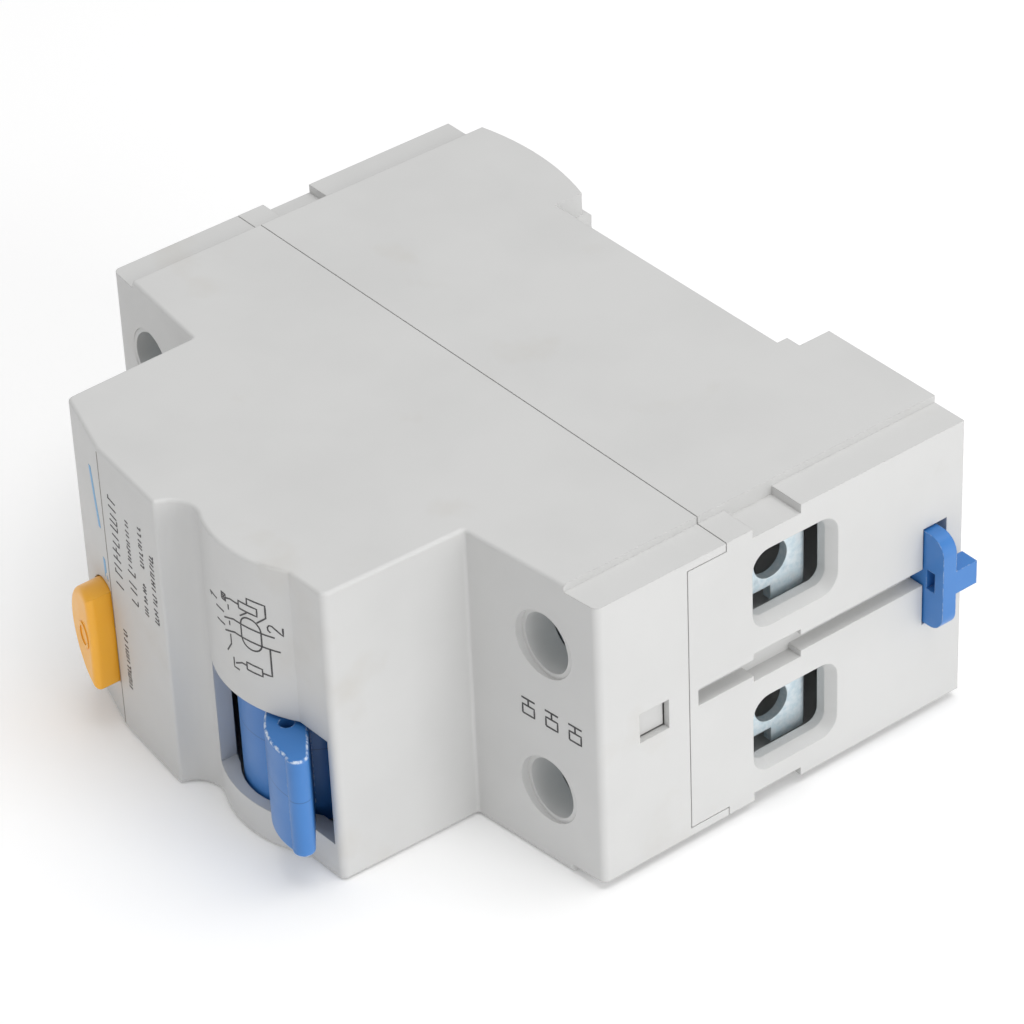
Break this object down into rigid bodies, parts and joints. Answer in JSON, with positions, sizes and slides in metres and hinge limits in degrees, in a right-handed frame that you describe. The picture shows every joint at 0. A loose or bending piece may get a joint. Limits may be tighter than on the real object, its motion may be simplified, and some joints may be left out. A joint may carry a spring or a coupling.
{
  "type": "residual current device",
  "caption": "Two-module residual current device for a 35 mm rail: shouldered casing, blue lever, orange test key, caged screw terminals and a sprung rail clip.",
  "frame": {"origin": "where the mounting rail's centre line meets the rail's front face, half way across the device's width", "axes": "+X towards the load terminals, -X towards the line terminals, +Y towards the rail, -Y towards the nose and lever, +Z across the two modules to the device's right side; the device lies on its left side"},
  "size_m": [0.0833, 0.0712, 0.0356],
  "materials": {
    "casing_plastic": "fine matte moulding",
    "blue_plastic": "satin moulding",
    "orange_plastic": "satin moulding",
    "zinc_plated_steel": "blue passivated zinc",
    "spring_steel": "plain drawn wire",
    "copper": "bright copper",
    "wire_insulation": "soft sleeve",
    "enamelled_copper": "enamelled winding",
    "core_alloy": "wound strip",
    "relay_steel": "drawn can",
    "dark_plastic": "glass-filled moulding",
    "board_laminate": "laminate",
    "resistor_lacquer": "lacquer"
  },
  "bodies": {
    "casing": {"front_cover": "casing_plastic", "rear_base": "casing_plastic", "lever_pin": "spring_steel", "carrier_axle": "spring_steel", "transformer_core": "core_alloy", "secondary_winding": "enamelled_copper", "transformer_case": "dark_plastic", "relay_case": "relay_steel", "relay_coil": "enamelled_copper", "trip_lever_pin": "spring_steel", "button_spring": "spring_steel", "circuit_board": "board_laminate", "test_resistor": "resistor_lacquer", "test_contact": "copper", "neutral_line_strip": "copper", "neutral_load_strip": "copper", "neutral_primary_wire": "wire_insulation", "phase_line_strip": "copper", "phase_load_strip": "copper", "phase_primary_wire": "wire_insulation"},
    "lever": {"operating_lever": "blue_plastic", "lever_spring": "spring_steel"},
    "link": {"lever_link": "spring_steel"},
    "carrier": {"contact_carrier": "dark_plastic", "neutral_moving_contact": "copper", "phase_moving_contact": "copper"},
    "plunger": {"relay_plunger": "spring_steel"},
    "trip_lever": {"trip_lever": "dark_plastic"},
    "button": {"test_button": "orange_plastic"},
    "clip": {"rail_clip": "blue_plastic"},
    "line_neutral_screw": {"line_neutral_screw": "zinc_plated_steel"},
    "line_neutral_cage": {"line_neutral_cage": "zinc_plated_steel"},
    "line_phase_screw": {"line_phase_screw": "zinc_plated_steel"},
    "line_phase_cage": {"line_phase_cage": "zinc_plated_steel"},
    "load_neutral_screw": {"load_neutral_screw": "zinc_plated_steel"},
    "load_neutral_cage": {"load_neutral_cage": "zinc_plated_steel"},
    "load_phase_screw": {"load_phase_screw": "zinc_plated_steel"},
    "load_phase_cage": {"load_phase_cage": "zinc_plated_steel"}
  },
  "joints": [
    {"name": "lever_hinge", "type": "hinge", "parent": "casing", "child": "lever", "pos_m": [0.0093, -0.0541, 0], "axis": [0, 0, -1], "range_deg": [0, 58]},
    {"name": "link_pivot", "type": "hinge", "parent": "lever", "child": "link", "pos_m": [0.00759, -0.0568, 0], "axis": [0, 0, -1], "range_deg": [-60, 1]},
    {"name": "carrier_hinge", "type": "hinge", "parent": "casing", "child": "carrier", "pos_m": [0.003, -0.03, 0], "axis": [0, 0, -1], "range_deg": [0, 20.2]},
    {"name": "relay_plunger_slide", "type": "slide", "parent": "casing", "child": "plunger", "axis": [0, -1, 0], "range_m": [0, 0.0015], "stiffness_N_per_m": 400, "springref_m": -0.0006},
    {"name": "trip_lever_hinge", "type": "hinge", "parent": "casing", "child": "trip_lever", "pos_m": [-0.002, -0.0193, 0], "axis": [0, 0, 1], "range_deg": [0, 8.7]},
    {"name": "test_button_slide", "type": "slide", "parent": "casing", "child": "button", "axis": [0, 1, 0], "range_m": [0, 0.002], "stiffness_N_per_m": 900, "springref_m": -0.001},
    {"name": "rail_clip_slide", "type": "slide", "parent": "casing", "child": "clip", "axis": [1, 0, 0], "range_m": [0, 0.004], "stiffness_N_per_m": 2500, "springref_m": -0.0015},
    {"name": "line_neutral_screw_turn", "type": "hinge", "parent": "casing", "child": "line_neutral_screw", "pos_m": [-0.033, -0.0363, -0.009], "axis": [0, -1, 0], "range_deg": [0, 3600]},
    {"name": "line_neutral_cage_slide", "type": "slide", "parent": "casing", "child": "line_neutral_cage", "axis": [0, 1, 0], "range_m": [0, 0.008]},
    {"name": "line_phase_screw_turn", "type": "hinge", "parent": "casing", "child": "line_phase_screw", "pos_m": [-0.033, -0.0363, 0.009], "axis": [0, -1, 0], "range_deg": [0, 3600]},
    {"name": "line_phase_cage_slide", "type": "slide", "parent": "casing", "child": "line_phase_cage", "axis": [0, 1, 0], "range_m": [0, 0.008]},
    {"name": "load_neutral_screw_turn", "type": "hinge", "parent": "casing", "child": "load_neutral_screw", "pos_m": [0.033, -0.0363, -0.009], "axis": [0, -1, 0], "range_deg": [0, 3600]},
    {"name": "load_neutral_cage_slide", "type": "slide", "parent": "casing", "child": "load_neutral_cage", "axis": [0, 1, 0], "range_m": [0, 0.008]},
    {"name": "load_phase_screw_turn", "type": "hinge", "parent": "casing", "child": "load_phase_screw", "pos_m": [0.033, -0.0363, 0.009], "axis": [0, -1, 0], "range_deg": [0, 3600]},
    {"name": "load_phase_cage_slide", "type": "slide", "parent": "casing", "child": "load_phase_cage", "axis": [0, 1, 0], "range_m": [0, 0.008]}
  ],
  "couplings": [
    {"joint": "link_pivot", "follows": "lever_hinge", "ratio": -0.96279},
    {"joint": "carrier_hinge", "follows": "lever_hinge", "ratio": 0.34483},
    {"joint": "trip_lever_hinge", "follows": "relay_plunger_slide", "rad_per_m": 100},
    {"joint": "line_neutral_screw_turn", "follows": "line_neutral_cage_slide", "rad_per_m": 7854},
    {"joint": "line_phase_screw_turn", "follows": "line_phase_cage_slide", "rad_per_m": 7854},
    {"joint": "load_neutral_screw_turn", "follows": "load_neutral_cage_slide", "rad_per_m": 7854},
    {"joint": "load_phase_screw_turn", "follows": "load_phase_cage_slide", "rad_per_m": 7854}
  ]
}
